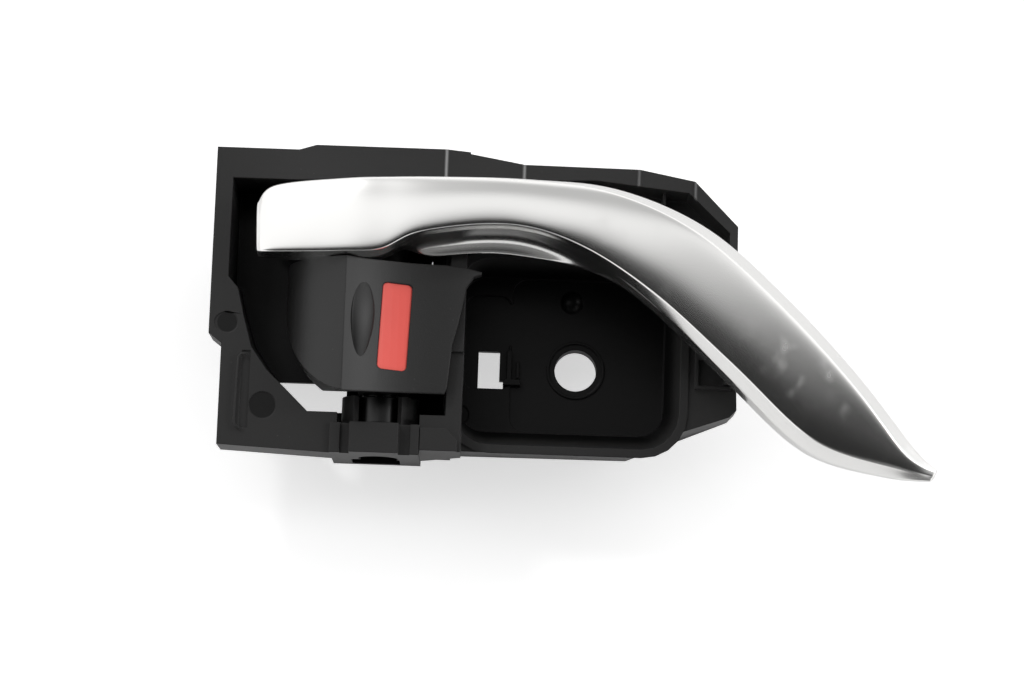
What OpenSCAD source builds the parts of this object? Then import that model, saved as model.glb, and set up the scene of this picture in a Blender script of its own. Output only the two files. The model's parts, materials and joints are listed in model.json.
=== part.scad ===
// Inside door handle of a car: a satin pull lever and a black lock knob that turn on one upright pin,
// in a moulded housing with a finger pocket. Millimetres. +X right, +Y into the door, +Z up.
// The origin is on the axis of the fixing hole, at the face that seats on the door.

/* [Housing] */
// Fixing hole axis to the flange's left edge
flange_left = 83.6; // [82:0.1:90]
// Fixing hole axis to the flange's right edge
flange_right = 36.3; // [35:0.1:42]
// Fixing hole axis to the flange's top edge at the left corner
flange_top = 45; // [45:0.1:48]
// Fixing hole axis to the flange's bottom edge
flange_low = 22.8; // [22:0.1:26]
// Seat on the door to the front of the rim
rim_depth = 28; // [27.5:0.1:29]
// Seat on the door to the shelf inside the rim
shelf_depth = 17; // [15:0.1:17.5]
// Seat on the door to the front of the pocket floor
floor_depth = 5; // [4:0.1:7]
// Thickness of the moulded walls
wall = 2; // [1.6:0.1:2.2]
// Thickness of the rim's front face at the top and right
rim_wall = 2.4; // [2:0.1:3]
// Depth of the skirt behind the flange
skirt = 10; // [6:0.5:11]

/* [Fixing] */
// Radius of the fixing hole
hole_r = 4.9; // [3:0.05:5.5]
// Radius of the seat boss round the fixing hole
seat_r = 8; // [7:0.1:9]
// Width of the locating slot
slot_w = 5; // [4.5:0.1:5.5]
// Height of the locating slot
slot_h = 8.8; // [8:0.1:9.5]
// Radius of the locating peg on the back
peg_r = 2.5; // [2:0.1:3.5]
// Length of the locating peg beyond its root
peg_l = 8; // [4:0.5:12]

/* [Pivot] */
// Fixing hole axis to the pivot pin, leftwards
pivot_left = 44.8; // [44:0.1:46]
// Seat on the door to the pivot pin, forwards
pivot_depth = 18; // [17.5:0.1:18.5]
// Radius of the pivot pin
pin_r = 2; // [1.6:0.05:2.4]
// Running clearance round the pin
run_gap = 0.05; // [0.02:0.01:0.08]
// Running gap between parts that turn on each other
turn_gap = 0.3; // [0.2:0.05:0.4]
// Wall of the flanged bushes
bush_wall = 0.9; // [0.7:0.05:1.1]
// Thickness of the washers and the bush flanges
washer_t = 0.5; // [0.3:0.05:0.6]

/* [Lever] */
// Left end of the lever to its tip
lever_length = 153; // [148:0.5:156]
// Height of the lever's upper edge above the fixing hole
lever_top = 37.6; // [37:0.1:38]
// Front of the rim to the lever's back
lever_gap = 2.5; // [2.3:0.1:3]
// Depth of the lever from back to front
lever_deep = 13.5; // [13:0.1:15]
// Wall of the lever's shell
shell_wall = 2; // [1.6:0.1:2.2]
// Opening angle of the lever
lever_angle = 38; // [30:1:38]

/* [Lock knob] */
// Radius of the knob's face about the pin
knob_r = 22.4; // [21.5:0.1:22.6]
// Height of the knob's upper edge above the fixing hole
knob_top = 19.4; // [18.9:0.1:19.4]
// Fixing hole axis down to the knob's lower edge
knob_low = 11.4; // [11:0.1:12]
// Rise of the knob's underside, from its front edge to the pin
knob_rise = 1.9; // [1.5:0.1:2]
// Wall of the knob
knob_wall = 2; // [1.6:0.1:2.4]
// Width of the red flag
flag_w = 6.6; // [5:0.1:7.5]
// Height of the red flag
flag_h = 19.8; // [16:0.1:21]
// Turn of the knob from unlocked to locked
lock_angle = 18; // [12:1:18]

/* [Arms] */
// Pivot pin to the end of the release cable on the lever's arm
release_arm = 24; // [22:0.5:26]
// Pivot pin to the end of the lock cable on the knob's arm
lock_arm = 24; // [22:0.5:25]
// Radius of the hole for a cable retainer
retainer_r = 2.5; // [2:0.1:2.8]

/* [Hidden] */
$fn = 64;
eps = 0.01;
seat_gap = 0.03;

plastic = [0.10, 0.10, 0.10];
satin = [0.78, 0.77, 0.74];
steel = [0.62, 0.63, 0.65];
rubber = [0.04, 0.04, 0.045];
nylon = [0.82, 0.80, 0.74];
red = [0.92, 0.13, 0.10];

pivot = [-pivot_left, -pivot_depth];
rim_y = -rim_depth;
shelf_y = -shelf_depth;
floor_y = -floor_depth;
floor_back = floor_y + 2.5;
ledge_y = floor_y - 0.8;

// Heights of the pieces stacked on the pin
well_top = lever_top + 1.7;
lug_top = -flange_low + 5.8;
lug_bottom = -flange_low;
hub_low0 = lug_top + turn_gap + washer_t;
knob_hub = knob_rise - knob_low;
hub_low1 = knob_hub - washer_t - turn_gap;
hub_up0 = knob_top + washer_t + turn_gap;
hub_up1 = well_top - turn_gap - washer_t;
top_lug = well_top + 2.6;
hub_low_r = 5.7;
hub_up_r = 5.5;
bush_r = pin_r + run_gap + bush_wall;
web_low = hub_up0 + 4.6;
web_high = web_low + 4;
spring_low = web_high + 0.6;
spring_high = hub_up1 - 0.8;
arm_t = 4;

// The well behind the lever's left end, with a window for the arms in its back wall
well_left = flange_left - 3.3;
well_back = -6;
well_sill = -5.2;
well_floor = -14.6;
divider_x = -29.6;
window_x = -60;
window_top = hub_up0 + arm_t + 0.6;
window_step = 14.2;
window_mid = [-52.4, -33.8];
lever_back = rim_depth + lever_gap;
lever_front = lever_back + lever_deep;

// Front opening and floor of the pocket, as [left, right, low, high, corner radius]
pocket_mouth = [-28.4, flange_right - 12.4, -flange_low + 3.2, 24, 8.5];
pocket_floor = [-27, flange_right - 15.5, -flange_low + 7.5, 21.4, 6];
cup_r = [7.2, 8.8];

// Reach of the lever, from its left end at the pin's left
lever_left = -pivot_left - 28.6;
lever_k = lever_length / 153;

// 2D shapes are drawn as seen from the front, then run along Y from y0 to y1
module along_y(y0, y1) translate([0, y1, 0]) rotate([90, 0, 0]) linear_extrude(y1 - y0) children();

module at_pivot(z = 0) translate([pivot[0], pivot[1], z]) children();

module box(x, y, z) translate([x[0], y[0], z[0]]) cube([x[1] - x[0], y[1] - y[0], z[1] - z[0]]);

module round_rect(x0, x1, z0, z1, r) {
    translate([x0 + r, z0]) square([x1 - x0 - 2 * r, z1 - z0]);
    translate([x0, z0 + r]) square([x1 - x0, z1 - z0 - 2 * r]);
    for (x = [x0 + r, x1 - r], z = [z0 + r, z1 - r]) translate([x, z]) circle(r);
}

// Points of a closed outline moved inwards by d, the outline running anticlockwise
function unit(v) = v / norm(v);
function left_of(v) = [-v[1], v[0]];
function inset(p, d) = [for (i = [0:len(p) - 1])
    let (n = len(p), a = left_of(unit(p[i] - p[(i + n - 1) % n])), b = left_of(unit(p[(i + 1) % n] - p[i])))
    p[i] + (a + b) * d / (1 + a * b)];
function arc(c, r, a0, a1, n) = [for (i = [0:n]) let (a = a0 + (a1 - a0) * i / n) c + r * [cos(a), sin(a)]];
function oval(c, rx, rz, a0, a1, n) = [for (i = [0:n])
    let (a = a0 + (a1 - a0) * i / n) c + [rx * cos(a), rz * sin(a)]];

// A point on the smooth curve through the rows of t, at place s from 0 to the last row
function through(t, s) =
    let (n = len(t) - 1, i = min(floor(s), n - 1), f = s - i,
        a = t[max(i - 1, 0)], b = t[i], c = t[i + 1], d = t[min(i + 2, n)])
    b + (c - a) * f / 2 + (2 * a - 5 * b + 4 * c - d) * f * f / 2 + (3 * (b - c) + d - a) * f * f * f / 2;

// Outline of the flange and the right-hand rim
step_up = 1.3;
left_part = [
    [-flange_left + 3.1, -flange_low], [divider_x + 3.6, -flange_low], [divider_x + 3.6, flange_top + step_up - 0.5],
    [-31.5, flange_top + step_up], [-61.4, flange_top + step_up], [-65.4, flange_top],
    [-flange_left, flange_top], [-flange_left, 1.8], [-flange_left + 3.1, -0.9]];
right_part = [
    [divider_x, -flange_low + 1.4], [11.8, -flange_low + 1.4], [flange_right - 1.9, -10.6],
    [flange_right, -8.2], [flange_right, flange_top - 13.9],
    [flange_right - 10.6, flange_top - 3.7], [12.9, flange_top - 1.9], [-13.5, flange_top - 1.7],
    [-31.5, flange_top + step_up], [divider_x - 1.9, flange_top - 4]];
rim_band = [
    [divider_x, well_top], [3, flange_top - 4.2], [flange_right - 12, flange_top - 6.4],
    [flange_right - rim_wall, flange_top - 15.4], [flange_right - rim_wall, -4], [flange_right, -4],
    [flange_right, flange_top - 13.9], [flange_right - 10.6, flange_top - 3.7],
    [12.9, flange_top - 1.9], [-13.5, flange_top - 1.7], [-31.5, flange_top + step_up],
    [divider_x - 1.9, well_top]];
well = [
    [-well_left + 1.4, 15.6], [-well_left + 2.6, 10.7], [-well_left + 5.3, 2.7], [-well_left + 9.1, -3],
    [-well_left + 13.9, -8.6], [-61, well_floor], [pivot[0] - 9.4, well_floor], [pivot[0] - 9.4, lug_top],
    [pivot[0] + 9.4, lug_top], [pivot[0] + 9.4, well_floor], [divider_x, well_floor], [divider_x, well_top],
    [-well_left, well_top], [-well_left, 17.4]];

// Closed solid through a list of rings that have the same number of points. Where the rings' sides are
// parallel, flat is true and each face stays whole.
module skin(rings, flat = false) {
    n = len(rings[0]);
    m = len(rings);
    polyhedron(
        points = [for (r = rings, p = r) p],
        faces = [
            [for (i = [0:n - 1]) i],
            each [for (j = [0:m - 2], i = [0:n - 1]) let (k = (i + 1) % n)
                each flat ? [[j * n + i, (j + 1) * n + i, (j + 1) * n + k, j * n + k]]
                    : [[j * n + i, (j + 1) * n + i, (j + 1) * n + k], [j * n + i, (j + 1) * n + k, j * n + k]]],
            [for (i = [n - 1:-1:0]) (m - 1) * n + i]],
        convexity = 8);
}

// The pocket's walls stand proud of the shelf by this much
bead = 0.5;
function round_ring(m, y, grow) = let (r = m[4] + grow)
    [for (c = [[m[1], m[3], 0], [m[0], m[3], 90], [m[0], m[2], 180], [m[1], m[2], 270]], i = [0:5])
        let (a = c[2] + i * 90 / 5, sx = c[0] == m[1] ? 1 : -1, sz = c[1] == m[3] ? 1 : -1)
        [c[0] + sx * (grow - r) + r * cos(a), y, c[1] + sz * (grow - r) + r * sin(a)]];
module pocket_shape(y0, y1, grow)
    skin([round_ring(pocket_floor, y1, grow), round_ring(pocket_mouth, y0, grow)], flat = true);

module housing() color(plastic) {
    difference() {
        union() {
            housing_skin();
            pocket_shape(shelf_y - bead, floor_back, wall);
            rotate([90, 0, 0]) cylinder(r = seat_r, h = floor_depth);
            pivot_lugs();
            cable_bracket();
            housing_ribs();
            translate([30.5, shelf_y + wall + peg_l, 20]) rotate([90, 0, 0]) cylinder(r = peg_r, h = peg_l + 1);
        }
        pocket_shape(shelf_y - bead - eps, ledge_y, 0);
        floor_panels();
        rotate([90, 0, 0]) translate([0, 0, -eps]) cylinder(r = hole_r, h = floor_depth + 3);
        at_pivot(lug_bottom - 1) cylinder(r = pin_r + seat_gap, h = top_lug - lug_bottom + 2);
        at_pivot(lug_bottom - eps) cylinder(r = pin_r + 2.6, h = 2.4);
        press_marks();
        for (b = bumper_seats) translate([b[0], b[1] + stem_l, b[2]]) rotate([90, 0, 0])
            cylinder(r = stem_r + seat_gap, h = 6);
    }
    pocket_details();
    rim_details();
}

// Dome, raised ring and snap tab on the pocket's floor
dome = [-1.3, 16.1, 2.7, 1.5];
module pocket_details() {
    round_r = (dome[2] * dome[2] + dome[3] * dome[3]) / (2 * dome[3]);
    intersection() {
        translate([dome[0], floor_y - dome[3] + round_r, dome[1]]) sphere(r = round_r);
        box([dome[0] - 4, dome[0] + 4], [floor_y - 2, floor_y + 1], [dome[1] - 4, dome[1] + 4]);
    }
    translate([0, floor_y + 0.5, 0]) rotate([90, 0, 0]) rotate_extrude() translate([6.2, 0]) square([0.6, 1]);
    box([-16.1, -15], [floor_y - 2, floor_y + 1], [-3.1, 4]);
    box([-13.9, -13.2], [floor_y - 1.4, floor_y + 1], [-2.5, 1.5]);
    box([-16.9, -12.9], [floor_y - 2, floor_y + 1], [-4.2, -2.8]);
}

// Fine ridges across the rim's front, as [x, low, high], and the small ribs on the shelf at the right
ridges = [[-31.5, well_top + 0.4, flange_top + 1.2], [-13.5, flange_top - 4.9, flange_top - 1.8],
    [12.9, flange_top - 5.2, flange_top - 2], [25.6, flange_top - 7.6, flange_top - 3.9]];
module rim_details() {
    for (r = ridges) translate([r[0], rim_y, r[1]]) cylinder(r = 0.35, h = r[2] - r[1]);
    box([18.5, 19.2], [shelf_y - 7, shelf_y + 1], [36.5, flange_top - 5]);
    for (z = [-5.2, 1.6]) box([27.3, flange_right - 1], [shelf_y - 1.2, shelf_y + 1], [z, z + 0.8]);
    box([27.3, 28.1], [shelf_y - 1.2, shelf_y + 1], [-5.2, 7.8]);
}

// The flange with its skirt, the well's walls, and the rim with its shelf
module housing_skin() {
    difference() {
        intersection() {
            along_y(rim_y, rim_y + wall + 1) polygon(left_part);
            union() {
                box([-flange_left, 0], [rim_y + 1, rim_y + 1 + wall], [-40, 60]);
                linear_extrude(60) polygon([[-65.4, rim_y + 1], [-61.4, rim_y], [0, rim_y],
                    [0, rim_y + 3], [-65.4, rim_y + 3]]);
            }
        }
        along_y(rim_y - 1, 0) polygon(well);
    }
    along_y(rim_y + wall, rim_y + wall + skirt) difference() {
        polygon(left_part);
        polygon(inset(left_part, wall));
        polygon(well);
    }
    difference() {
        along_y(rim_y + wall, well_back + wall) difference() {
            polygon(inset(well, -wall));
            polygon(well);
        }
        at_pivot(lug_top) cylinder(r = spine_r[1] + 2 * turn_gap, h = hub_low1 - lug_top);
    }
    along_y(well_back, well_back + wall) intersection() {
        polygon(well);
        union() {
            translate([-well_left, well_sill]) square([well_left + window_x, 60]);
            translate([-well_left, window_top]) square([well_left, 60]);
            translate([-well_left, window_step]) square([well_left + window_mid[0], 60]);
            translate([window_mid[1], window_step]) square([-window_mid[1], 60]);
        }
    }
    along_y(rim_y, shelf_y + wall) difference() {
        polygon(rim_band);
        translate([divider_x - 20, 0]) square([20, 60]);
    }
    along_y(shelf_y, shelf_y + wall) polygon(right_part);
    along_y(shelf_y, shelf_y + skirt) difference() {
        polygon(right_part);
        polygon(inset(right_part, wall));
    }
    box([divider_x, divider_x + wall], [rim_y + wall, floor_back], [well_floor, well_top]);
    box([divider_x, divider_x + 5.2], [rim_y, shelf_y + wall], [pocket_mouth[3] + 4, well_top + wall]);
}

// Two levels of the pocket's floor, the locating slot and the small marks there
panel_left = [-26.1, -15.6, -5.2, 17];
panel_main = [-15.2, flange_right - 15.7, -flange_low + 7.8, 21.2];
slot_left = -22.8;
module floor_panels() {
    along_y(ledge_y - eps, floor_y) {
        round_rect(panel_left[0], panel_left[1], panel_left[2], panel_left[3], 2.4);
        round_rect(panel_main[0], panel_main[1], panel_main[2], panel_main[3], 3.6);
        translate([panel_left[1] - 1, 5.4]) square([2, 10]);
    }
    along_y(ledge_y - 1, 1) translate([slot_left, -4.9]) square([slot_w, slot_h]);
    along_y(ledge_y - 1, 1) translate([slot_left, -4.9]) square([slot_w + 0.9, 1.9]);
}

// Shallow round marks on the moulding's front, as [x, y, z, radius]
marks = [[-80.1, rim_y + 1, 5.2, 2.5], [-71.2, rim_y + 1, -13.6, 3.1], [-26.9, ledge_y, -11.4, 2.3]];
module press_marks() {
    for (m = marks) translate([m[0], m[1] + 0.25, m[2]]) rotate([90, 0, 0]) cylinder(r = m[3], h = 2);
    box([-76.3, -74.4], [rim_y, rim_y + 1.4], [-19, -1.2]);
}

// Lugs that carry the pin, the open cup round the lower hub, and the stepped blocks under it
module pivot_lugs() {
    px = pivot[0];
    at_pivot(well_top) cylinder(r = 6, h = top_lug - well_top);
    difference() {
        union() {
            box([px - 10.8, px + 9.4], [rim_y, -6], [lug_bottom, lug_top]);
            box([px - 6.3, px + 4.8], [rim_y - 2, rim_y + 1], [lug_bottom, lug_top]);
        }
        box([px - 8.5, px - 6.3], [rim_y - 3, rim_y + 2], [lug_bottom - 1, lug_top + 1]);
        box([px + 4.8, px + 7.4], [rim_y - 3, rim_y + 2], [lug_bottom - 1, lug_top + 1]);
        box([px - 6.3, px + 4.8], [rim_y + 1, -8], [lug_bottom - 1, lug_bottom + 2.4]);
    }
    along_y(rim_y, rim_y + 12) polygon([[px + 9.6, lug_bottom], [px + 18, lug_bottom],
        [px + 18, lug_top - 3.2], [px + 15.4, lug_top - 0.6], [px + 9.6, lug_top - 0.6]]);
    for (a = [180, -54]) at_pivot(lug_top - 1) rotate([0, 0, a]) rotate_extrude(angle = 50)
        translate([cup_r[0], 0]) square([cup_r[1] - cup_r[0], hub_low1 - lug_top + 1]);
    box([px - 8.6, divider_x + 1], [-4, -4 + wall], [lug_bottom + 3, well_sill]);
    box([px - 10.8, divider_x + 1], [-7, -4 + wall], [lug_bottom + 1, lug_top]);
    at_pivot(well_sill - 1) rotate([0, 0, 90 + lock_lean - lock_angle])
        translate([13.4, -arm_w / 2 - turn_gap - 2.4, 0]) cube([3.4, 2.4, 9]);
    box([px - 12.4, px - 9.6], [spring_post_y, spring_post_y + 2.4], [spring_high - 2, well_top + 1]);
}

// Bracket behind the well with two open slots for the cables' outer casings, as [y, z]
casing_slots = [[4.6, hub_up0 + arm_t / 2], [2.8, 1]];
module cable_bracket() {
    x0 = -well_left - wall;
    difference() {
        union() {
            box([x0, x0 + 3], [well_back, 10], [-5, hub_up0 + 9]);
            for (z = [-5, 13, hub_up0 + 7.4]) box([x0, x0 + 11], [well_back + 1, well_back + wall + 3], [z, z + 1.6]);
        }
        for (s = casing_slots) {
            translate([x0 - 1, s[0], s[1]]) rotate([0, 90, 0]) cylinder(r = 2.6, h = 5);
            box([x0 - 1, x0 + 4], [s[0], 11], [s[1] - 2.2, s[1] + 2.2]);
        }
    }
}

// Stiffening ribs behind the shelf and the flange
module housing_ribs() {
    for (x = [-8, 8]) box([x, x + 1.2], [shelf_y + wall, floor_back - 2], [pocket_floor[3] + 3, flange_top - 4]);
    for (x = [-72, -64]) box([x, x + 1.2], [rim_y + wall, rim_y + wall + skirt - 1], [well_top + 1, flange_top - 1]);
    box([-78, -60], [rim_y + wall + 1, rim_y + wall + skirt - 2], [-19.2, -18]);
    box([-72, -70.8], [rim_y + wall + 1, rim_y + wall + skirt - 2], [-22, -9]);
}

// Stations along the lever: upper edge x and z, lower edge x and z, front and back in Y
stations = [
    [-73.4, 31.0, -72.8, 20.4, -34.6, -lever_back], [-69.6, 34.9, -69.4, 19.9, -38.2, -lever_back],
    [-54.0, 36.8, -54.0, 20.1, -41.6, -lever_back], [-44.0, 37.3, -45.6, 20.6, -42.3, -lever_back],
    [-32.0, 37.6, -35.0, 25.0, -42.8, -lever_back], [-12.0, 37.6, -16.5, 26.5, -43.2, -lever_back],
    [8.0, 36.1, -1.0, 22.7, -43.6, -lever_back], [28.0, 27.5, 15.0, 12.5, -44.0, -lever_back],
    [46.0, 13.5, 33.0, -4.0, -44.0, -lever_back], [63.0, -3.7, 51.0, -19.8, -43.2, -lever_back - 0.7],
    [76.0, -19.4, 69.0, -25.4, -41.4, -lever_back - 3.5], [79.6, -24.4, 77.5, -26.2, -40.0, -lever_back - 6.5]];
function station(s) =
    let (r = through(stations, s), dz = lever_top - 37.6, dy = lever_front - 44)
    [lever_left + (r[0] + 73.4) * lever_k, r[1] + dz, lever_left + (r[2] + 73.4) * lever_k, r[3], r[4] - dy, r[5]];
last_station = len(stations) - 1;

// Share of the lever's width taken by the bevel that faces up and right
function bevel_share(s) = 0.1 + 0.3 * pow(max(0, min(1, (s - 4.5) / 4)), 1.3);
function across(r, u, y) = [r[0] + (r[2] - r[0]) * u, y, r[1] + (r[3] - r[1]) * u];
function lever_ring(s) =
    let (r = station(s), d = r[5] - r[4], b = bevel_share(s), w = norm([r[0] - r[2], r[1] - r[3]]),
        t = min(shell_wall / w, 0.3), e = min(1, s / 0.8, (last_station - s) / 1.6),
        deep = r[5] - 0.3 - max(0, d - shell_wall - 1.2) * max(0, e))
    [across(r, 0.03, r[5]), across(r, 0, r[5] - d * 0.35), across(r, 0.015, r[4] + d * 0.30),
        across(r, b * 0.45, r[4] + d * 0.11), across(r, b, r[4] + d * 0.02), across(r, b + (0.93 - b) * 0.33, r[4]),
        across(r, b + (0.93 - b) * 0.66, r[4] + d * 0.015), across(r, 0.95, r[4] + d * 0.08),
        across(r, 0.99, r[4] + d * 0.16), across(r, 1, r[4] + d * 0.3), across(r, 0.99, r[5]),
        across(r, 0.99 - t, r[5]), across(r, 0.97 - t, deep), across(r, 0.07 + t, deep), across(r, 0.03 + t, r[5])];

module lever_shell() color(satin) difference() {
    union() {
        skin([for (i = [0:last_station * 4]) lever_ring(i / 4)]);
        for (s = screw_places) let (r = station(s), p = screw_at(s))
            translate([p[0], -lever_back - 2.1, p[1]]) rotate([90, 0, 0])
                cylinder(r = 2.8, h = r[5] - r[4] - shell_wall - 1.4);
    }
    for (s = screw_places) let (p = screw_at(s))
        translate([p[0], -lever_back - 2, p[1]]) rotate([90, 0, 0]) cylinder(r = screw_r + seat_gap, h = 5.6);
}

// Backing plate of the lever inside the shell's lips
plate_end = 8.6;
function edge_in(s, side, d) =
    let (r = station(s), w = norm([r[0] - r[2], r[1] - r[3]]), u = side == 0 ? d / w : 1 - d / w)
    [r[0] + (r[2] - r[0]) * u, r[1] + (r[3] - r[1]) * u];
lip = shell_wall + 1.6;
plate_outline = [
    for (i = [2:20]) edge_in(plate_end * i / 20, 1, lip), for (i = [20:-1:2]) edge_in(plate_end * i / 20, 0, lip)];
screw_places = [1.75, 5.2, 7.9];
screw_r = 1.2;
function screw_at(s) = let (r = station(s)) [(r[0] + r[2]) / 2, (r[1] + r[3]) / 2];

module lever_core() color(plastic) difference() {
    union() {
        along_y(-lever_back - 2, -lever_back) polygon(plate_outline);
        at_pivot(hub_up0) cylinder(r = hub_up_r, h = hub_up1 - hub_up0);
        at_pivot(hub_low0) cylinder(r = hub_low_r, h = hub_low1 - hub_low0);
        box([pivot[0] - 5.5, pivot[0] + 1.5], [-lever_back - 1, pivot[1]], [web_low, web_high]);
        spine();
        release_arm_shape();
    }
    at_pivot(hub_low0 - 1) cylinder(r = pin_r + 2 * run_gap, h = hub_up1 - hub_low0 + 2);
    at_pivot(hub_up1 - 6) cylinder(r = bush_r + seat_gap, h = 7);
    at_pivot(hub_low0 - 1) cylinder(r = bush_r + seat_gap, h = 4.2);
    for (s = screw_places) let (p = screw_at(s))
        translate([p[0], -lever_back + 1, p[1]]) rotate([90, 0, 0]) cylinder(r = screw_r + 0.1, h = 4);
}

// Strap behind the knob that joins the two hubs, and a wall that closes the gap above the knob, both as a
// sector about the pin
spine_r = [8.6, 11.4];
spine_sector = [40, 33];
apron_sector = [20, 125];
spine_in = 0.3;
module spine() at_pivot() {
    rotate([0, 0, spine_sector[0]]) rotate_extrude(angle = spine_sector[1]) polygon([
        [4, hub_low0 + spine_in], [spine_r[1], hub_low0 + spine_in], [spine_r[1], web_high - spine_in],
        [4, web_high - spine_in], [4, hub_up0 + spine_in], [spine_r[0], hub_up0 + spine_in],
        [spine_r[0], hub_low1 - spine_in], [4, hub_low1 - spine_in]]);
    rotate([0, 0, apron_sector[0]]) translate([0, 0, hub_up0 + 2 * spine_in])
        rotate_extrude(angle = apron_sector[1])
            translate([spine_r[1] - 2.2, 0]) square([2, web_high - hub_up0 - 4 * spine_in]);
}

// Arms that pull the cables: they point into the door and end in a round eye
release_lean = 12;
lock_lean = 30;
arm_w = 6.4;
module arm(length, lean) rotate([0, 0, 90 + lean]) difference() {
    union() {
        translate([3.2, -arm_w / 2, 0]) cube([length - 3.2, arm_w, arm_t]);
        translate([length, 0, 0]) cylinder(r = retainer_r + 1.8, h = arm_t);
    }
    translate([length, 0, -1]) cylinder(r = retainer_r + seat_gap, h = arm_t + 2);
}
module release_arm_shape() at_pivot(casing_slots[0][1] - arm_t / 2) arm(release_arm, release_lean);

module cable_retainer(length, lean, z) at_pivot(z - arm_t / 2) rotate([0, 0, 90 + lean])
    translate([length, 0, 0]) difference() {
        union() {
            translate([0, 0, -1.2]) cylinder(r = retainer_r, h = arm_t + 2.4);
            translate([0, 0, arm_t]) cylinder(r = retainer_r + 1, h = 1.2);
            translate([0, 0, -1.2]) cylinder(r = retainer_r + 0.5, h = 1.2);
        }
        translate([0, 0, -2]) cylinder(r = 1.2, h = arm_t + 4);
        rotate([0, 0, lean + 180]) translate([0, -0.4, -2]) cube([5, 0.8, arm_t + 6]);
    }
module release_cable_retainer() color(nylon) cable_retainer(release_arm, release_lean, casing_slots[0][1]);
module lock_cable_retainer() color(nylon) cable_retainer(lock_arm, lock_lean, casing_slots[1][1]);

module core_screw(i) color(steel) let (p = screw_at(screw_places[i]))
    translate([p[0], -lever_back, p[1]]) rotate([90, 0, 0]) difference() {
        union() {
            translate([0, 0, -1.4]) cylinder(r = 2.3, h = 1.4);
            cylinder(r = screw_r, h = 7);
        }
        translate([0, 0, -2]) for (a = [0, 60, 120]) rotate([0, 0, a]) translate([-1.3, -0.35, 0]) cube([2.6, 0.7, 1.4]);
    }

module hub_bush(z, up) color(plastic) at_pivot(z) difference() {
    union() {
        translate([0, 0, up ? -5.6 : 0]) cylinder(r = bush_r, h = up ? 5.6 : 3);
        translate([0, 0, up ? 0 : -washer_t]) cylinder(r = bush_r + 1.3, h = washer_t);
    }
    translate([0, 0, -9]) cylinder(r = pin_r + run_gap, h = 18);
}

module knob_washer(z) color(plastic) at_pivot(z) difference() {
    cylinder(r = 4.2, h = washer_t);
    translate([0, 0, -1]) cylinder(r = pin_r + 2 * run_gap, h = washer_t + 2);
}

// Outline of the knob from the front, about the pin
knob_wing = 22.3;
knob_outline = [
    each oval([-5.2, 10], 17.1, 10 + knob_low, 180, 270, 12),
    each arc([12, -knob_low + 3.4], 3.4, -90, 0, 5),
    [16.2, 1.3], [17.4, 6], [19, 14.4], [20.6, knob_top - 2.6], [knob_wing, knob_top - 2],
    [knob_wing, knob_top - 1.4], [19, knob_top - 0.5], [14, knob_top], [-22.3, knob_top]];
knob_tilt = 7;
knob_back = -1.5;
knob_side = 14.2;
scoop_at = [16.6, -52.4];
scoop_r = 40;
crown_r = 95;

// Outline of the knob from above: round at the left, hollowed to the right of the ridge, and with d above 0
// the outline of the hollow inside, which stops short of the wing at the right
function ridge_angle(d) =
    let (m = norm(scoop_at), k = (pow(knob_r - d, 2) - pow(scoop_r + d, 2) + m * m) / (2 * m))
    360 + atan2(scoop_at[1], scoop_at[0]) - acos(k / (knob_r - d));
function knob_plan(d) =
    let (a = ridge_angle(d), p = (knob_r - d) * [cos(a), sin(a)] - scoop_at, x = d > 0 ? knob_side - d : knob_wing,
        wing = d > 0 ? [] : [[knob_wing, -10.4], [knob_side, -10.4]])
    concat(arc([0, 0], knob_r - d, 180 + asin(-knob_back / (knob_r - d)), a, 14),
        [for (i = [1:14]) let (b = atan2(p[1], p[0]) + (acos((x - scoop_at[0]) / (scoop_r + d)) - atan2(p[1], p[0])) * i / 14)
            scoop_at + (scoop_r + d) * [cos(b), sin(b)]],
        wing, [[knob_side - d, knob_back + d]]);

module knob_form(d) intersection() {
    translate([0, 0, -20]) linear_extrude(60) polygon(knob_plan(d));
    along_y(-30, knob_back + d) polygon(inset(knob_outline, d));
    translate([-40, crown_r - knob_r, 6]) rotate([0, 90, 0]) cylinder(r = crown_r - d, h = 80);
    translate([-40, 0, -knob_low + knob_r * tan(knob_tilt) + d]) rotate([knob_tilt, 0, 0])
        translate([0, -60, 0]) cube([80, 120, 60]);
}

flag_mid = [3.1, 4.5];
module flag_block(grow, y0) translate([flag_mid[0], 0, flag_mid[1]]) rotate([0, 2, 0])
    along_y(y0, -4) round_rect(-flag_w / 2 - grow, flag_w / 2 + grow, -flag_h / 2 - grow, flag_h / 2 + grow, 1.1);

module lock_knob() color(plastic) difference() {
    at_pivot() union() {
        difference() {
            knob_form(0);
            difference() {
                knob_form(knob_wall);
                translate([-30, -9, -20]) cube([60, 12, 14 + 2]);
            }
            flag_block(seat_gap, -30);
        }
        translate([0, 0, knob_hub]) cylinder(r = 4, h = knob_top - knob_hub);
        translate([-5, -16.2, knob_hub]) cube([4, 16, knob_top - knob_hub]);
        translate([0, 0, casing_slots[1][1] - arm_t / 2]) arm(lock_arm, lock_lean);
        difference() {
            translate([0, 0, 8.5]) cylinder(r = cam_r, h = 5);
            for (a = [0, lock_angle]) rotate([0, 0, notch_angle + a]) translate([cam_r + 0.6, 0, 8])
                cylinder(r = 1.2, h = 6);
        }
    }
    at_pivot(-knob_low - 1) cylinder(r = pin_r + run_gap, h = knob_low + knob_top + 2);
}

// Cam on the knob's hub, with one notch for each of the knob's two places
cam_r = 6.3;
notch_angle = 143.6;

module lock_flag() color(red) at_pivot() intersection() {
    difference() {
        knob_form(0.3);
        knob_form(knob_wall);
    }
    flag_block(0, -30);
}

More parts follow.
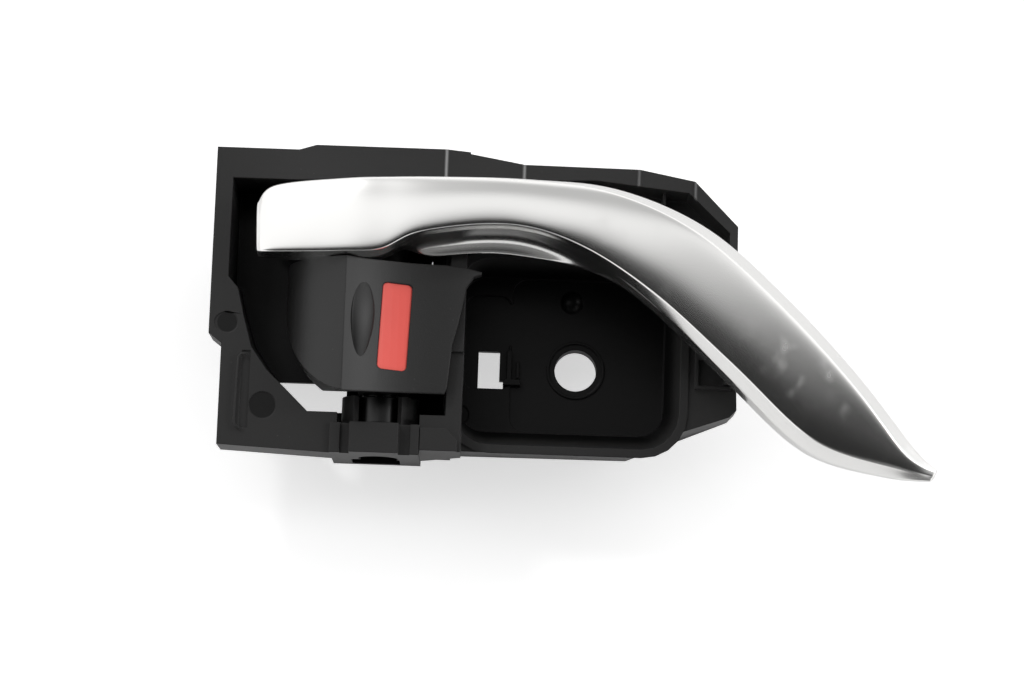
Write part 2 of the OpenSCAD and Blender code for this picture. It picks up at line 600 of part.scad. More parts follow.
module pivot_pin() color(steel) at_pivot() {
    head = lug_bottom + 2.4;
    translate([0, 0, head - 2]) cylinder(r = pin_r + 1.6, h = 2);
    translate([0, 0, head]) cylinder(r = pin_r, h = top_lug - head);
    translate([0, 0, top_lug]) cylinder(r = pin_r - 0.5, h = 0.8);
    translate([0, 0, top_lug + 0.8]) cylinder(r = pin_r, h = 0.7);
}

module pin_clip() color(steel) at_pivot(top_lug) difference() {
    cylinder(r = pin_r + 1.8, h = 0.7);
    translate([0, 0, -1]) cylinder(r = pin_r - 0.5 + seat_gap, h = 3);
    translate([0, -0.9, -1]) cube([6, 1.8, 3]);
}

// Torsion spring round the upper hub: its lower leg pushes the lever's core outwards at the left, and its
// upper leg rests on a post of the housing
coil_r = hub_up_r + 1.1;
wire_r = 0.5;
coil_from = -60;
coil_turn = 360 * 4 + 150;
coil_steps = 60;
leg_low = 12.5;
leg_high = 12.2;
spring_post_y = pivot[1] + coil_r + wire_r + 0.05;
function coil_point(a, z, along) = [pivot[0] + coil_r * cos(a) - along * sin(a),
    pivot[1] + coil_r * sin(a) + along * cos(a), z];
spring_z = [spring_low + wire_r, spring_high - wire_r];
spring_route = [
    coil_point(coil_from, spring_z[0], -leg_low), coil_point(coil_from, spring_z[0], -leg_low / 2),
    for (i = [0:coil_steps]) coil_point(coil_from + coil_turn * i / coil_steps,
        spring_z[0] + (spring_z[1] - spring_z[0]) * i / coil_steps, 0),
    coil_point(90, spring_z[1], leg_high / 2), coil_point(90, spring_z[1], leg_high)];
function ring_at(p, i) =
    let (n = len(p) - 1, d = unit(p[min(i + 1, n)] - p[max(i - 1, 0)]), u = unit(cross(d, [0, 0, 1])), v = cross(u, d))
    [for (a = [0:60:300]) p[i] + wire_r * (cos(a) * u + sin(a) * v)];
module return_spring() color(steel) skin([for (i = [0:len(spring_route) - 1]) ring_at(spring_route, i)]);

// Leaf that snaps the knob into its two places: it is held behind the well's back wall, bends round the
// window's edge and ends in the knob's cam
leaf_t = 0.5;
leaf_z = [9, 13];
module detent_spring() color(steel) translate([0, 0, leaf_z[0]]) linear_extrude(leaf_z[1] - leaf_z[0])
    translate([window_x, well_back]) polygon([
        [-4.5, wall + 0.05], [0.05, wall + 0.05], [0.05, -0.45], [0.9, -2.15],
        [9.7, -8.4], [10.1, -7.9], [1.3, -1.8], [0.05 + leaf_t, -0.3],
        [0.05 + leaf_t, wall + 0.05 + leaf_t], [-4.5, wall + 0.05 + leaf_t]]);

// Rubber bumpers: the lever rests on one and ends its travel on the other, as [x, seat y, z, height]
bumper_seats = [[-27, rim_y, 33.5, lever_back - rim_depth - turn_gap], [-70, well_back, 28, 10]];
stem_r = 1.4;
stem_l = 1.2;
module bumper(i) color(rubber) difference() {
    let (b = bumper_seats[i]) translate([b[0], b[1], b[2]]) rotate([90, 0, 0]) {
        translate([0, 0, -stem_l]) cylinder(r = stem_r, h = stem_l);
        cylinder(r = 2.6, h = b[3] - 0.8);
        translate([0, 0, b[3] - 0.8]) cylinder(r1 = 2.6, r2 = 1.8, h = 0.8);
    }
    at_pivot() rotate([0, 0, i == 0 ? 0 : -lever_angle])
        translate([-60, pivot_depth - lever_back + turn_gap - 40, 0]) cube([100, 40, 50]);
}

housing();
lever_shell();
lever_core();
core_screw(0);  // core_screw_1
core_screw(1);  // core_screw_2
core_screw(2);  // core_screw_3
hub_bush(hub_up1, true);  // hub_bush_upper
hub_bush(hub_low0, false);  // hub_bush_lower
lock_knob();
lock_flag();
pivot_pin();
pin_clip();
return_spring();
detent_spring();
bumper(0);  // rest_bumper
bumper(1);  // travel_bumper
knob_washer(knob_top);  // knob_washer_upper
knob_washer(knob_hub - washer_t);  // knob_washer_lower
release_cable_retainer();
lock_cable_retainer();
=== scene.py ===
import json
import math

import bmesh
import bpy
from mathutils import Matrix, Vector


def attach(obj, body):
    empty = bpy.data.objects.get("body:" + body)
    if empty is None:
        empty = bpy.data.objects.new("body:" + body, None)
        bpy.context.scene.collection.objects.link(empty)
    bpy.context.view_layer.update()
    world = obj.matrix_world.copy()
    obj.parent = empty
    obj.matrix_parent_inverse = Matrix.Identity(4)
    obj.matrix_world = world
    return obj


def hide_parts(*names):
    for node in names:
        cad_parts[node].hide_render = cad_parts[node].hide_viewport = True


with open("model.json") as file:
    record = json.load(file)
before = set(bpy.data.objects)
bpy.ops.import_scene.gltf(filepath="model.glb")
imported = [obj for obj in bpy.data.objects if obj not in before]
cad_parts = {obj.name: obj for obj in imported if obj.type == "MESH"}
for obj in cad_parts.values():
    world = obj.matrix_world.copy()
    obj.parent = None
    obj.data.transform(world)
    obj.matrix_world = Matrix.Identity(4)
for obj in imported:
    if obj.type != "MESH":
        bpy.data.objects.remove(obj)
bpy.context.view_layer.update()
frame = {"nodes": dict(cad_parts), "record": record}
MM = 0.001
MERGE_WITHIN = 0.002 * MM

# Camera: in front of the handle and a little below it, looking up, with the handle turned clockwise
CAMERA_AT = Vector((-15.1, -719.38, -106.48)) * MM
CAMERA_UP_TILT = math.radians(9)
CAMERA_ROLL = math.radians(2)
IMAGE_WIDTH = 1024
FOCAL_PIXELS = 3080
SENSOR_WIDTH = 36


def add_camera():
    data = bpy.data.cameras.new("camera")
    data.sensor_width = SENSOR_WIDTH
    data.lens = data.sensor_width * FOCAL_PIXELS / IMAGE_WIDTH
    data.clip_start = 0.01
    data.clip_end = 20
    look = Vector((0, math.cos(CAMERA_UP_TILT), math.sin(CAMERA_UP_TILT)))
    upright = Vector((0, -math.sin(CAMERA_UP_TILT), math.cos(CAMERA_UP_TILT)))
    level = Vector((1, 0, 0))
    right = level * math.cos(CAMERA_ROLL) + upright * math.sin(CAMERA_ROLL)
    up = upright * math.cos(CAMERA_ROLL) - level * math.sin(CAMERA_ROLL)
    camera = bpy.data.objects.new("camera", data)
    camera.matrix_world = Matrix.Translation(CAMERA_AT) @ Matrix((right, up, -look)).transposed().to_4x4()
    bpy.context.scene.collection.objects.link(camera)
    bpy.context.scene.camera = camera


add_camera()


# Y in metres from which painted shade darkens a moulding inwards, here in front of the whole part, and how
# fast it does
DARK_THROUGHOUT = -0.05
PAINTED_SHADE_RAMP = 0.008
# Painted highlight lines lie only on what is so far in front of that
LINE_DEPTH = 0.0105
# Share of the shade in the clouds' dark and light places, the colour of dust, and the black of the painted
# shade on what lies deep
CLOUD_DARK = (0.86, 0.84, 0.86)
CLOUD_LIGHT = (1.14, 1.13, 1.1)
DUST = (0.3, 0.29, 0.27)
PAINTED_SHADE_BLACK = (0.001, 0.0009, 0.001)
# Where fingers hold the lever, in metres
GRIP = (0.052, -0.044, -0.004)


# Shader maths: a Term wraps a socket, and an expression on Terms adds its Math nodes
class Term:
    def __init__(self, finish, socket):
        self.finish, self.socket = finish, socket

    def math(self, operation, first, second):
        return self.finish.add("ShaderNodeMath", {"operation": operation}, {0: first, 1: second})

    def __add__(self, other):
        return self.math("ADD", self, other)

    def __sub__(self, other):
        return self.math("SUBTRACT", self, other)

    def __rsub__(self, other):
        return self.math("SUBTRACT", other, self)

    def __mul__(self, other):
        return self.math("MULTIPLY", self, other)

    __radd__ = __add__
    __rmul__ = __mul__

    def between(self, low, high):
        """0 below low, 1 above high, smooth in between."""
        return self.finish.add(
            "ShaderNodeMapRange",
            {"interpolation_type": "SMOOTHSTEP"},
            {"Value": self, "From Min": low, "From Max": high},
        )


class Nodes:
    """A node tree to which one method adds every kind of node."""

    def __init__(self, tree):
        self.tree = tree

    def add(self, kind, settings=None, inputs=None, out=0):
        node = self.tree.nodes.new(kind)
        for key, value in (settings or {}).items():
            setattr(node, key, value)
        for key, value in (inputs or {}).items():
            if isinstance(value, Term):
                self.tree.links.new(value.socket, node.inputs[key])
            else:
                node.inputs[key].default_value = value
        return Term(self, node.outputs[out])


def colour_of(value):
    """A Term as it is, a colour with full alpha, and one number as a grey."""
    if isinstance(value, Term):
        return value
    return (*value, 1) if isinstance(value, tuple) else (value, value, value, 1)


def scaled(colour, share):
    """A colour times a share, no brighter than white."""
    return tuple(min(1, channel * share) for channel in colour)


class Finish(Nodes):
    """A material with one Principled shader, whose constants are set on its own sockets."""

    def __init__(self, name, **constants):
        self.material = bpy.data.materials.new(name)
        self.material.use_nodes = True
        super().__init__(self.material.node_tree)
        self.shader = self.tree.nodes["Principled BSDF"]
        for socket, value in constants.items():
            self.shader.inputs[socket.replace("_", " ")].default_value = value
        self.place = self.add("ShaderNodeTexCoord", out="Object")

    def noise(self, scale, detail, stretch=(1, 1, 1), shift=(0, 0, 0), roughness=0.5):
        place = self.add("ShaderNodeMapping", None, {0: self.place, "Scale": stretch, "Location": shift})
        inputs = {"Vector": place, "Scale": scale, "Detail": detail, "Roughness": roughness}
        return self.add("ShaderNodeTexNoise", None, inputs)

    def cells(self, scale):
        """Distance from the nearest of the points scattered through the piece."""
        return self.add("ShaderNodeTexVoronoi", None, {"Vector": self.place, "Scale": scale}, "Distance")

    def distance_from(self, point):
        inputs = {0: self.place, 1: point}
        return self.add("ShaderNodeVectorMath", {"operation": "DISTANCE"}, inputs, "Value")

    def blend(self, share, below, above):
        """A colour from below at a share of 0 to above at 1; each is a Term, a colour or one grey value."""
        ends = [colour_of(colour) for colour in (below, above)]
        return self.add("ShaderNodeMix", {"data_type": "RGBA"}, {0: share, 6: ends[0], 7: ends[1]}, 2)

    def feed(self, socket, term):
        self.tree.links.new(term.socket, self.shader.inputs[socket])

    def relief(self, height, depth, strength, round_edges=0.0):
        """Bump from a height of 0 to 1 that stands for depth in metres, on edges rounded by round_edges."""
        inputs = {"Height": height, "Distance": depth, "Strength": strength}
        if round_edges:
            inputs["Normal"] = self.add("ShaderNodeBevel", {"samples": 6}, {"Radius": round_edges})
        self.feed("Normal", self.add("ShaderNodeBump", None, inputs))


def moulded_black(
    name, shade, grain, grain_depth, gloss, edge, front=DARK_THROUGHOUT, marks=(), lines=(), shine=0.5
):
    """Black moulded plastic with a fine grain, faint clouds and a little dust, darker behind its front by
    painted shade, with painted highlight lines where given.
    """
    f = Finish(name, IOR=1.5, Specular_IOR_Level=shine)
    across, back, high = (f.add("ShaderNodeSeparateXYZ", None, {0: f.place}, axis) for axis in "XYZ")
    # painted shade: behind the front Y the moulding is darkened nearly to black, as its recesses would be
    # in shade
    depth = back.between(front, front + PAINTED_SHADE_RAMP)
    fine = f.noise(grain, 3, roughness=0.6)
    pits = f.cells(grain * 0.7)
    clouds = f.noise(38, 3)
    smears = f.noise(16, 4, (1, 1, 0.35), (3, 1, 2))
    dust = f.cells(700).between(0.16, 0.04) * f.noise(120, 2).between(0.56, 0.72)
    dark = f.blend(clouds, scaled(CLOUD_DARK, shade), scaled(CLOUD_LIGHT, shade))
    dark = f.blend(fine * 0.35, dark, shade * 1.5)
    dark = f.blend(depth * 0.93, dark, PAINTED_SHADE_BLACK)
    for x, y, z, radius in marks:
        inside = f.distance_from((x, y, z)).between(radius * 1.08, radius * 0.98)
        dark = f.blend(inside * 0.75, dark, 0.001)
    for x, z, width, tone in lines:
        # painted highlight: a light line where facets of the top band meet and their edges catch the light
        painted_highlight = across.between(x - width, x) * across.between(x + width, x) * high.between(z - 0.0005, z)
        in_front = 1 - back.between(front - LINE_DEPTH, front - LINE_DEPTH + 0.0005)
        dark = f.blend(painted_highlight * in_front, dark, tone)
    f.feed("Base Color", f.blend(dust * 0.12 * (1 - 0.8 * depth), dark, DUST))
    f.feed("Roughness", gloss + smears.between(0.4, 0.75) * 0.09 + fine * 0.06 + dust * 0.2)
    f.relief(fine * 0.6 + pits * 0.4, grain_depth, 0.55, edge)
    return f.material


def satin_chrome():
    """Satin chrome plating with a fine soft grain, faint smears and finger marks near the grip."""
    f = Finish("satin_chrome", Metallic=1.0)
    clouds = f.noise(24, 3)
    grain = f.noise(2600, 2, roughness=0.6)
    smears = f.noise(70, 5, (1, 1, 1), (1, 2, 5), 0.62).between(0.5, 0.74)
    marks = f.noise(300, 1, (1, 1, 0.8), (7, 2, 1), 0.5).between(0.5, 0.8)
    grip = f.distance_from(GRIP).between(0.017, 0.004)
    f.feed("Base Color", f.blend(clouds, (0.92, 0.915, 0.90), (0.98, 0.975, 0.96)))
    f.feed("Roughness", 0.17 + clouds * 0.04 + smears * 0.04 + grip * marks * 0.12)
    f.relief(grain, 0.000004, 0.5)
    return f.material


def plain_moulding(name, colour, gloss, edge=0.00025):
    """Smooth plastic or nylon with a little cloudiness and light scratches."""
    f = Finish(name, IOR=1.5)
    clouds = f.noise(90, 3)
    scratches = f.noise(600, 2, (1, 0.12, 0.5), (2, 3, 1)).between(0.62, 0.7)
    f.feed("Base Color", f.blend(clouds, scaled(colour, 0.92), scaled(colour, 1.06)))
    f.feed("Roughness", gloss + clouds * 0.08 + scratches * 0.12)
    f.relief(f.noise(1500, 2) * 0.5 + scratches * 0.3, 0.00001, 0.4, edge)
    return f.material


def zinc_steel():
    """Bright zinc-plated steel, drawn marks and small stains."""
    f = Finish("zinc_steel", Metallic=1.0)
    stains = f.noise(300, 4)
    drawn = f.noise(2500, 2, (1, 1, 0.05))
    f.feed("Base Color", f.blend(stains, (0.52, 0.52, 0.53), (0.66, 0.66, 0.66)))
    f.feed("Roughness", 0.28 + stains * 0.12 + drawn * 0.08)
    f.relief(drawn, 0.000006, 0.4, 0.0001)
    return f.material


# Round ejector marks of the housing: place and radius in metres
PRESS_MARKS = [
    (-0.0801, -0.028, 0.0052, 0.0025),
    (-0.0712, -0.028, -0.0136, 0.0031),
    (-0.0269, -0.0058, -0.0114, 0.0023),
]
# Painted highlights where facets meet across the front of the top band: place across, lowest point, half
# width and tone
PAINTED_HIGHLIGHT_LINES = [
    (-0.0315, 0.033, 0.0006, 0.3),
    (-0.0136, 0.03, 0.0006, 0.26),
    (0.0127, 0.03, 0.0005, 0.14),
    (0.0258, 0.026, 0.0005, 0.14),
]
# Each finish by its slot; grain depths and rounded edges are in metres
FINISHES = {
    "housing_plastic": moulded_black(
        "housing_black",
        shade=0.028,
        grain=2600,
        grain_depth=0.00003,
        gloss=0.34,
        edge=0.0003,
        # painted shade darkens the housing behind this Y, in its wells and recesses
        front=-0.0165,
        marks=PRESS_MARKS,
        lines=PAINTED_HIGHLIGHT_LINES,
        shine=0.2,
    ),
    "knob_plastic": moulded_black(
        "knob_black", shade=0.010, grain=3600, grain_depth=0.000035, gloss=0.38, edge=0.0005, front=0.0
    ),
    "core_plastic": moulded_black(
        "core_black", shade=0.012, grain=2200, grain_depth=0.00001, gloss=0.24, edge=0.0003
    ),
    "lever_satin": satin_chrome(),
    "flag_red": plain_moulding("flag_red", (0.98, 0.12, 0.095), gloss=0.4, edge=0.0003),
    "nylon": plain_moulding("natural_nylon", (0.74, 0.71, 0.63), gloss=0.38),
    "bumper_rubber": plain_moulding("black_rubber", (0.028, 0.028, 0.028), gloss=0.7),
    "steel": zinc_steel(),
}
SLOT_OF = {part["node"]: part["material_slot"] for part in frame["record"]["subparts"]}


def paint_cad_nodes():
    for name, node in frame["nodes"].items():
        node.data.materials.clear()
        node.data.materials.append(FINISHES[SLOT_OF[name]])


paint_cad_nodes()


def place(bm, name, body, slot, replaced=(), sharp=None):
    """Turns a bmesh into a piece that rides on a body; edges sharper than sharp degrees stay crisp."""
    bmesh.ops.recalc_face_normals(bm, faces=bm.faces)
    for face in bm.faces:
        face.smooth = True
    if sharp is not None:
        for edge in bm.edges:
            if len(edge.link_faces) == 2:
                edge.smooth = edge.calc_face_angle(0) < math.radians(sharp)
    mesh = bpy.data.meshes.new(name)
    bm.to_mesh(mesh)
    bm.free()
    piece = bpy.data.objects.new(name, mesh)
    mesh.materials.append(FINISHES[slot])
    bpy.context.scene.collection.objects.link(piece)
    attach(piece, body)
    if replaced:
        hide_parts(*replaced)
    return piece


def refine(piece, levels):
    """Rounds a piece off by subdivision, alike in the view and in the render."""
    smooth = piece.modifiers.new("refine", "SUBSURF")
    smooth.levels = smooth.render_levels = levels
    return piece


def merged_copy(node):
    """A CAD node's mesh as one skin, without doubled points and slivers."""
    bm = bmesh.new()
    bm.from_mesh(frame["nodes"][node].data)
    bmesh.ops.remove_doubles(bm, verts=bm.verts, dist=MERGE_WITHIN)
    bmesh.ops.dissolve_degenerate(bm, dist=MERGE_WITHIN, edges=bm.edges)
    return bm


def loft(rings):
    """Skin through rings of points, each extruded from the one before, with both ends closed."""
    bm = bmesh.new()
    ring = bmesh.ops.create_circle(bm, segments=len(rings[0]), radius=1)["verts"]
    for vert, point in zip(ring, rings[0]):
        vert.co = point
    edges = list(bm.edges)
    first = edges
    for points in rings[1:]:
        made = bmesh.ops.extrude_edge_only(bm, edges=edges)["geom"]
        new = [g for g in made if isinstance(g, bmesh.types.BMVert)]
        old = set(ring)
        partner = {}
        for vert in new:
            for edge in vert.link_edges:
                other = edge.other_vert(vert)
                if other in old:
                    partner[other] = vert
        ring = [partner[v] for v in ring]
        for vert, point in zip(ring, points):
            vert.co = point
        inside = set(ring)
        grown = [g for g in made if isinstance(g, bmesh.types.BMEdge)]
        edges = [g for g in grown if g.verts[0] in inside and g.verts[1] in inside]
    for edge_loop in (first, edges):
        bmesh.ops.contextual_create(bm, geom=edge_loop)
    return bm


# The lever: stations along it in millimetres: upper edge x and z, lower edge x and z, front and back in Y.
# Those in the part's source are up to 2 mm off across, and at both ends up to about 3 mm in depth.
STATIONS = [
    (-73.6, 31.9, -73.1, 19.4, -37.6, -30.5),
    (-69.6, 35.7, -69.6, 19.1, -39.4, -30.5),
    (-54.0, 37.4, -54.0, 19.4, -41.6, -30.5),
    (-44.0, 37.9, -45.0, 20.1, -42.3, -30.5),
    (-32.0, 38.2, -36.0, 24.4, -42.8, -30.5),
    (-12.0, 38.2, -16.5, 26.5, -43.2, -30.5),
    (8.0, 36.4, -1.0, 22.2, -43.7, -30.5),
    (28.0, 28.2, 15.0, 11.5, -44.0, -30.5),
    (46.0, 13.2, 33.0, -5.0, -43.4, -30.5),
    (63.0, -4.1, 51.0, -20.9, -41.6, -31.0),
    (76.0, -19.9, 69.0, -26.0, -38.8, -32.7),
    (80.6, -23.9, 79.2, -26.8, -36.9, -34.0),
]
LAST = len(STATIONS) - 1
SHELL_WALL = 2.0


def smooth_step(value, low, high):
    share = max(0.0, min(1.0, (value - low) / (high - low)))
    return share * share * (3 - 2 * share)


def through(rows, s):
    """A point on the smooth curve through the rows, at place s from 0 to the last row."""
    last = len(rows) - 1
    i = min(int(s), last - 1)
    f = s - i
    a, b, c, d = rows[max(i - 1, 0)], rows[i], rows[i + 1], rows[min(i + 2, last)]
    return [
        q + (r - p) * f / 2 + (2 * p - 5 * q + 4 * r - t) * f * f / 2 + (3 * (q - r) + t - p) * f**3 / 2
        for p, q, r, t in zip(a, b, c, d)
    ]


def lever_section(s):
    """One ring of the shell: top side, bevel, face, lower strip, underside, and back along the inside."""
    x0, z0, x1, z1, front, back = through(STATIONS, s)
    deep = back - front
    width = math.hypot(x1 - x0, z1 - z0)
    k = min(1.0, deep / 9) * min(1.0, width / 8)
    bevel = min(0.9 + 2.1 * smooth_step(s, 4.5, 7.5), width * 0.3)
    strip = min(0.6 + 1.9 * smooth_step(s, 5.5, 8.5), width * 0.3)
    flare = 4.8 * smooth_step(s, 3.5, 4.3) * smooth_step(-s, -6.9, -5.2)
    upper = 1 - 0.85 * smooth_step(s, 5.5, 7)
    lower = 0.2 + 0.8 * smooth_step(s, 5.2, 7.2)
    crease = width - strip
    lip = min(SHELL_WALL, width * 0.3)
    end = max(0.0, min(1.0, s / 0.8, (LAST - s) / 1.6))
    floor = back - 0.3 - max(0.0, deep - SHELL_WALL - 1.2) * end
    run = crease - bevel
    outline = [
        (0.35, back),
        (0, back - deep * 0.05),
        (0, back - deep * 0.3),
        (0.02, front + 3.7 * k),
        (0.22, front + 3.25 * k),
        (bevel * 0.5, front + 1.9 * k),
        (bevel - 0.16, front + (0.25 + 0.75 * upper) * k),
        (bevel + 0.08, front + (0.06 + 0.76 * upper) * k),
        (bevel + run * 0.12, front + 0.4 * upper * k),
        (bevel + run * 0.32, front + 0.08 * upper * k),
        (bevel + run * 0.62, front + 0.02 * lower * k),
        (bevel + run * 0.84, front + 0.26 * lower * k),
        (crease - 0.08, front + 0.85 * lower * k),
        (crease + 0.1, front + (0.85 * lower + 0.3) * k),
        (crease + strip * 0.5, front + 2.7 * k),
        (width - 0.2, front + 4.3 * k),
        (width, front + 4.8 * k),
        (width + flare * 0.3, back - deep * (0.3 - 0.03 * flare)),
        (width + flare * 0.97, back - deep * 0.07),
        (width + flare - 0.35, back),
        (width - lip + 0.3, back),
        (width - lip, back - 0.3),
        (width - lip - 0.3, floor + 0.25),
        (width - lip - 0.6, floor),
        (lip + 0.6, floor),
        (lip + 0.3, floor + 0.25),
        (lip, back - 0.3),
        (lip - 0.3, back),
    ]
    points = [(x0 + (x1 - x0) * u / width, y, z0 + (z1 - z0) * u / width) for u, y in outline]
    return [Vector(point) * MM for point in points]


def closing(ring, way, steps):
    """Rings that round an end off: each step gives a ring's size and how far out it lies in millimetres."""
    middle = sum(ring, Vector()) / len(ring)
    return [[middle + (p - middle) * share + way * reach * MM for p in ring] for share, reach in steps]


def build_lever():
    """The shell, with a ring at every fifth of a station and more of them near its left end."""
    steps = [0, 0.06, 0.14, 0.25, 0.4, 0.55, 0.7, 0.85]
    steps += [1 + 0.2 * i for i in range(49)]
    steps += [10.9, LAST]
    rings = [lever_section(s) for s in steps]
    left = closing(rings[0], Vector((-1, 0, -0.05)), [(0.4, 0.42), (0.75, 0.36), (0.93, 0.2)])
    right = closing(rings[-1], Vector((0.8, 0, -0.3)), [(0.9, 0.3), (0.6, 0.6), (0.3, 0.7)])
    bm = loft(left + rings + right)
    return refine(place(bm, "lever_shell_satin", "lever", "lever_satin", ["lever_shell"]), 2)


build_lever()


# Edges of a CAD shape that turn by more degrees than this stay crisp
CRISP_FROM = 32


def smooth_cad_piece(bm, node, name, body):
    """The CAD node's own shape with round walls shaded smooth."""
    return place(bm, name, body, SLOT_OF[node], [node], CRISP_FROM)


# Corners of the well's opening and of the rim: x and z in the part's source, then in the photograph
WELL_CORNERS = [
    (-80.3, 17.4, -80.3, 15.8),
    (-78.9, 15.6, -78.0, 13.2),
    (-77.7, 10.7, -76.5, 7.1),
    (-75.0, 2.7, -74.4, -0.2),
    (-71.2, -3.0, -70.7, -5.4),
    (-66.4, -8.6, -66.6, -9.2),
]
RIM_CORNERS = [
    (36.3, -8.2, 37.1, -9.7),
    (34.4, -10.6, 35.5, -11.4),
    (11.8, -21.4, 12.2, -21.2),
]


def fit_housing(point):
    """Moves a point of the housing, in metres, where its outline is up to 4 mm off the photograph's."""
    x, y, z = point / MM
    for old_x, old_z, new_x, new_z in RIM_CORNERS:
        if math.hypot(x - old_x, z - old_z) < 0.1:
            return Vector((new_x, y, new_z)) * MM
    # the edge of the window for the lever's arm
    if y > -6.1 and z > 14 and abs(x + 33.8) < 0.1:
        x -= 0.5
    # the outer edges of the flange, with the step in its left edge
    if y < -15:
        top = 0.6 * smooth_step(z, 41, 43) + 0.3 * smooth_step(-x, 62, 65) * smooth_step(z, 43, 44.8)
        edge = smooth_step(-x, 79.5, 80.4)
        left = 0.6 * smooth_step(-x, 81, 83.4) + 0.7 * edge * smooth_step(-z, -0.5, 0.5)
        notch = 1.2 * edge * smooth_step(-z, -3, -1) * smooth_step(z, -4, -2)
        right = smooth_step(x, 34.2, 36.2) * (0.6 if y > -18.5 else -0.6)
        x, z = x - left + right, z + top + notch
    for old_x, old_z, new_x, new_z in WELL_CORNERS:
        if y < -6 and math.hypot(x - old_x, z - old_z) < 0.2:
            x, z = new_x, new_z
    # the top of the well's opening
    if y < -24 and abs(z - 39.3) < 0.1 and x < -29:
        z -= 0.5
    # the lower end of the pivot's lug
    if y < -5 and -58 < x < -35.3:
        z -= 1.1 * smooth_step(-z, 21.6, 22.7)
    return Vector((x, y, z)) * MM


def build_housing():
    bm = merged_copy("housing")
    for vert in bm.verts:
        vert.co = fit_housing(vert.co)
    bmesh.ops.triangulate(bm, faces=bm.faces)
    return smooth_cad_piece(bm, "housing", "housing_moulding", "base")


build_housing()
smooth_cad_piece(merged_copy("lock_knob"), "lock_knob", "lock_knob_moulding", "lock")

# Sides of the round forms, and the swelling's rings and how near they come to its pointed ends
BEAD_SIDES = 10
SWELL_SIDES = 24
SWELL_STEPS = 16
SWELL_REACH = 0.985


def turns_of(count):
    """So many angles, evenly spread round a circle."""
    return [math.tau * j / count for j in range(count)]


def bead_along(points, radius, name):
    """A fine round bead through points in millimetres, on the housing."""
    rings = []
    for i, point in enumerate(points):
        way = Vector(points[min(i + 1, len(points) - 1)]) - Vector(points[max(i - 1, 0)])
        side = way.cross(Vector((0, 1, 0))).normalized()
        over = way.cross(side).normalized()
        around = [side * math.cos(a) + over * math.sin(a) for a in turns_of(BEAD_SIDES)]
        rings.append([(Vector(point) + radius * spoke) * MM for spoke in around])
    return place(loft(rings), name, "base", "housing_plastic")


FLANGE_BEAD = [
    (-75.0, -28, -2.0),
    (-76.4, -28, -2.1),
    (-77.0, -28, -2.8),
    (-77.2, -28, -8),
    (-77.4, -28, -17.6),
    (-77.0, -28, -18.6),
    (-75.8, -28, -19.2),
]
bead_along(FLANGE_BEAD, 0.28, "flange_bead")


def build_knob_swell():
    """The long swelling on the knob's face, right of its ridge, on which the thumb rests."""
    middle, half = Vector((-48.7, -36.7, 5.0)), Vector((0.25, 0, 10.2))
    across, out = Vector((0.87, 0.49, 0)), Vector((0.49, -0.87, 0))
    rings = []
    for i in range(SWELL_STEPS + 1):
        t = -SWELL_REACH + 2 * SWELL_REACH * i / SWELL_STEPS
        wide = 2.9 * (1 - t * t) ** 0.8 * (1 + 0.25 * t)
        high = 0.75 * (1 - t * t)
        centre = middle + half * t - out * (0.25 + 0.75 * t * t)
        side, over = across * wide, out * high
        turns = turns_of(SWELL_SIDES)
        rings.append([(centre + side * math.cos(a) + over * math.sin(a)) * MM for a in turns])
    return refine(place(loft(rings), "knob_swell", "lock", "knob_plastic"), 1)


build_knob_swell()


def rounded_box(low, high, radius, name):
    """A block between two corners in millimetres, its edges rounded, on the housing."""
    bm = bmesh.new()
    made = bmesh.ops.create_cube(bm, size=1)["verts"]
    low, high = Vector(low), Vector(high)
    bmesh.ops.scale(bm, verts=made, vec=(high - low) * MM)
    bmesh.ops.translate(bm, verts=made, vec=(high + low) / 2 * MM)
    bmesh.ops.bevel(
        bm, geom=bm.edges, offset=radius * MM, segments=3, profile=0.5, affect="EDGES", material=-1
    )
    return place(bm, name, "base", "housing_plastic")


rounded_box((-56.6, -7, -19), (-53.0, -2, -12.1), 0.4, "well_corner_web")


# Studio: white board behind the handle, see-through from behind, and soft light from all round
BOARD_Y = 0.0112
BOARD_HALF = 3
BOARD_GLOW = 0.5
GLOW_IN_REFLECTIONS = 0.15


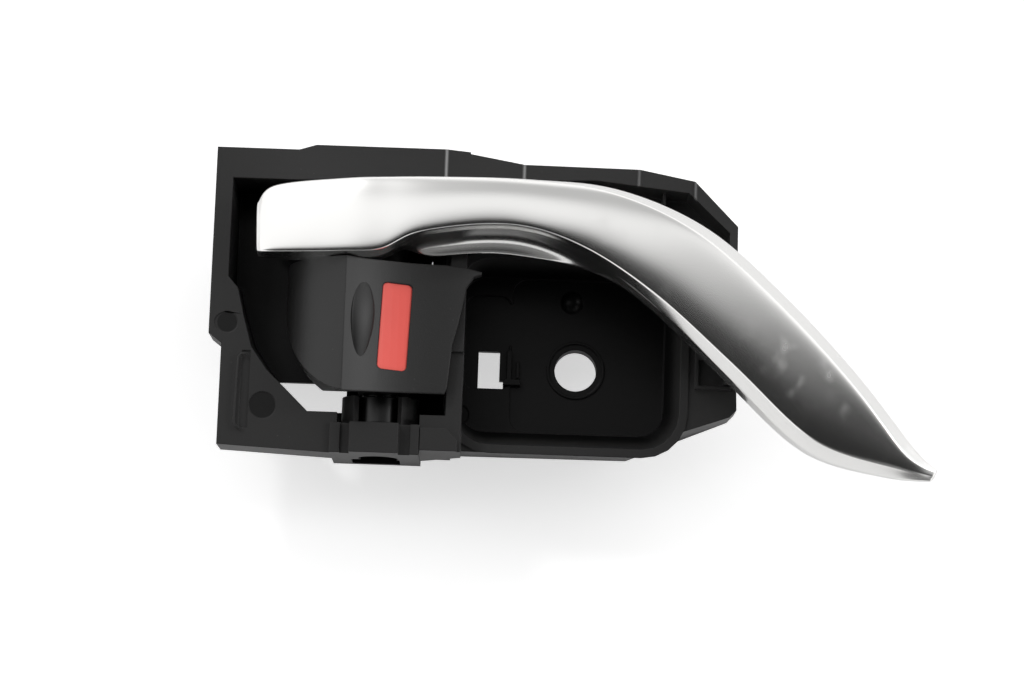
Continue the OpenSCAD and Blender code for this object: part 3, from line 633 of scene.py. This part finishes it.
def add_board():
    bm = bmesh.new()
    bmesh.ops.create_grid(bm, x_segments=1, y_segments=1, size=BOARD_HALF)
    bmesh.ops.rotate(bm, verts=bm.verts, matrix=Matrix.Rotation(math.radians(90), 3, "X"))
    bmesh.ops.translate(bm, verts=bm.verts, vec=(0, BOARD_Y, 0))
    mesh = bpy.data.meshes.new("board")
    bm.to_mesh(mesh)
    bm.free()
    board = bpy.data.objects.new("board", mesh)
    bpy.context.scene.collection.objects.link(board)
    f = Finish("board_white", Base_Color=(0.93, 0.93, 0.93, 1), Roughness=1.0, Specular_IOR_Level=0.0)
    glow = f.add("ShaderNodeEmission", None, {"Color": (1, 1, 1, 1), "Strength": BOARD_GLOW})
    paths = [f.add("ShaderNodeLightPath", None, None, kind) for kind in ("Is Camera Ray", "Is Glossy Ray")]
    shares = {0: paths[0], 1: paths[1] * GLOW_IN_REFLECTIONS}
    seen = f.add("ShaderNodeMath", {"operation": "MAXIMUM"}, shares)
    paint = Term(f, f.shader.outputs[0])
    lit = f.add("ShaderNodeAddShader", None, {0: paint, 1: glow})
    front = f.add("ShaderNodeMixShader", None, {0: seen, 1: paint, 2: lit})
    behind = f.add("ShaderNodeNewGeometry", None, None, "Backfacing")
    clear = f.add("ShaderNodeBsdfTransparent")
    both = f.add("ShaderNodeMixShader", None, {0: behind, 1: front, 2: clear})
    f.tree.links.new(both.socket, f.tree.nodes["Material Output"].inputs["Surface"])
    mesh.materials.append(f.material)
    board.visible_shadow = False


add_board()


# Strength of the light all round, and how much of it each dark place takes away
ROOM_LIGHT = 1.06
LOW_DARK = 1.04
BAND_DARK = 0.6
UNDER_DARK = 0.9


def add_world():
    """White all round, but for a dark room low in front and below, and a faint grey band above it."""
    world = bpy.data.worlds.new("soft_room")
    bpy.context.scene.world = world
    world.use_nodes = True
    f = Nodes(world.node_tree)
    way = f.add("ShaderNodeTexCoord", out="Generated")
    right, back, up = (f.add("ShaderNodeSeparateXYZ", None, {0: way}, axis) for axis in "XYZ")
    ahead = (0 - back).between(0.35, 0.7)
    low = up.between(0.31, 0.03) * (right - up * 1.6).between(-0.5, -0.1) * ahead
    band = up.between(0.24, 0.42) * up.between(0.82, 0.66) * ahead
    band = band * right.between(0.35, 0.1) * right.between(-0.3, -0.08)
    under = (0 - up).between(0.45, 0.75) * right.between(-0.5, -0.3) * right.between(0.4, 0.2)
    dark = LOW_DARK * low * right.between(0.75, 0.5) + BAND_DARK * band + UNDER_DARK * under * (1 - low)
    seen = f.add("ShaderNodeLightPath", None, None, "Is Camera Ray")
    light = world.node_tree.nodes["Background"]
    world.node_tree.links.new(((ROOM_LIGHT - dark) * (1 - seen) + seen).socket, light.inputs["Strength"])
    light.inputs["Color"].default_value = (1, 1, 1, 1)


add_world()


def add_lamp(name, at, target, size, power):
    data = bpy.data.lights.new(name, "AREA")
    data.shape = "DISK"
    data.size = size
    data.energy = power
    lamp = bpy.data.objects.new(name, data)
    at, target = Vector(at), Vector(target)
    lamp.matrix_world = Matrix.Translation(at) @ (at - target).to_track_quat("Z", "Y").to_matrix().to_4x4()
    bpy.context.scene.collection.objects.link(lamp)


add_lamp("key", (-0.45, -0.85, 0.6), (0, -0.03, 0), 0.16, 1.6)
add_lamp("side", (0.86, -0.6, 0.22), (-0.04, -0.04, 0), 0.2, 1.4)

bpy.context.scene.view_settings.view_transform = "Standard"
